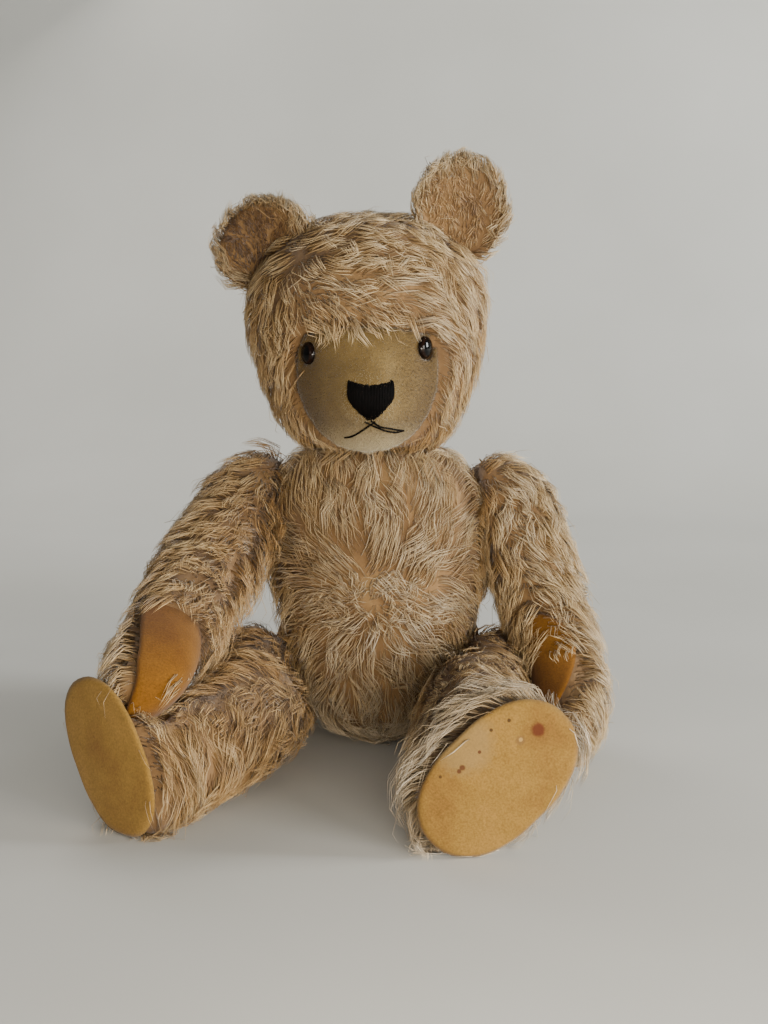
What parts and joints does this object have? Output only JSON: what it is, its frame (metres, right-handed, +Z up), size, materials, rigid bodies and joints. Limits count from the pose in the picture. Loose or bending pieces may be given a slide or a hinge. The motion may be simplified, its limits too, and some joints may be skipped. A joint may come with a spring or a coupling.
{
  "type": "jointed teddy bear",
  "caption": "Jointed mohair teddy bear sitting with legs out, with a clipped muzzle, glass eyes, stitched nose, felt pads and worn, matted pile.",
  "frame": {"origin": "on the floor under the middle of the seat", "axes": "+Z up, the bear faces -Y, +X is its left side"},
  "size_m": [0.271, 0.2825, 0.3191],
  "materials": {
    "mohair": "matte",
    "short_mohair": "matte",
    "felt": "matte",
    "wood_wool": "matte",
    "hardboard": "matte",
    "steel": "satin",
    "eye_glass": "gloss",
    "thread": "satin"
  },
  "bodies": {
    "torso": {"torso_cover": "mohair", "torso_stuffing": "wood_wool", "neck_disc_inner": "hardboard", "neck_washer_inner": "steel", "shoulder_left_disc_inner": "hardboard", "shoulder_left_washer_inner": "steel", "shoulder_right_disc_inner": "hardboard", "shoulder_right_washer_inner": "steel", "hip_left_disc_inner": "hardboard", "hip_left_washer_inner": "steel", "hip_right_disc_inner": "hardboard", "hip_right_washer_inner": "steel"},
    "head": {"head_cover": "mohair", "face_mask": "short_mohair", "head_stuffing": "wood_wool", "ear_left": "mohair", "ear_right": "mohair", "eye_left": "eye_glass", "eye_left_wire": "steel", "eye_right": "eye_glass", "eye_right_wire": "steel", "nose_stitching": "thread", "mouth_stitching": "thread", "neck_disc_outer": "hardboard", "neck_washer_outer": "steel", "neck_cotter_pin": "steel"},
    "arm_left": {"arm_left_cover": "mohair", "paw_pad_left": "felt", "arm_left_stuffing": "wood_wool", "shoulder_left_disc_outer": "hardboard", "shoulder_left_washer_outer": "steel", "shoulder_left_cotter_pin": "steel"},
    "arm_right": {"arm_right_cover": "mohair", "paw_pad_right": "felt", "arm_right_stuffing": "wood_wool", "shoulder_right_disc_outer": "hardboard", "shoulder_right_washer_outer": "steel", "shoulder_right_cotter_pin": "steel"},
    "leg_left": {"leg_left_cover": "mohair", "foot_sole_left": "felt", "leg_left_stuffing": "wood_wool", "hip_left_disc_outer": "hardboard", "hip_left_washer_outer": "steel", "hip_left_cotter_pin": "steel"},
    "leg_right": {"leg_right_cover": "mohair", "foot_sole_right": "felt", "leg_right_stuffing": "wood_wool", "hip_right_disc_outer": "hardboard", "hip_right_washer_outer": "steel", "hip_right_cotter_pin": "steel"}
  },
  "joints": [
    {"name": "neck_turn", "type": "hinge", "parent": "torso", "child": "head", "pos_m": [-0.004, 0, 0.163], "axis": [0, 0, 1], "range_deg": [-80, 80]},
    {"name": "shoulder_left_turn", "type": "hinge", "parent": "torso", "child": "arm_left", "pos_m": [0.057, 0.002, 0.13], "axis": [-0.974, -0.2209, -0.0502], "range_deg": [0, 105]},
    {"name": "shoulder_right_turn", "type": "hinge", "parent": "torso", "child": "arm_right", "pos_m": [-0.057, 0.002, 0.13], "axis": [-0.974, 0.2209, 0.0502], "range_deg": [0, 65]},
    {"name": "hip_left_turn", "type": "hinge", "parent": "torso", "child": "leg_left", "pos_m": [0.045, -0.012, 0.039], "axis": [0.9691, 0.102, -0.2244], "range_deg": [0, 85]},
    {"name": "hip_right_turn", "type": "hinge", "parent": "torso", "child": "leg_right", "pos_m": [-0.045, -0.012, 0.039], "axis": [0.9493, -0.2222, 0.2222], "range_deg": [0, 60]}
  ]
}
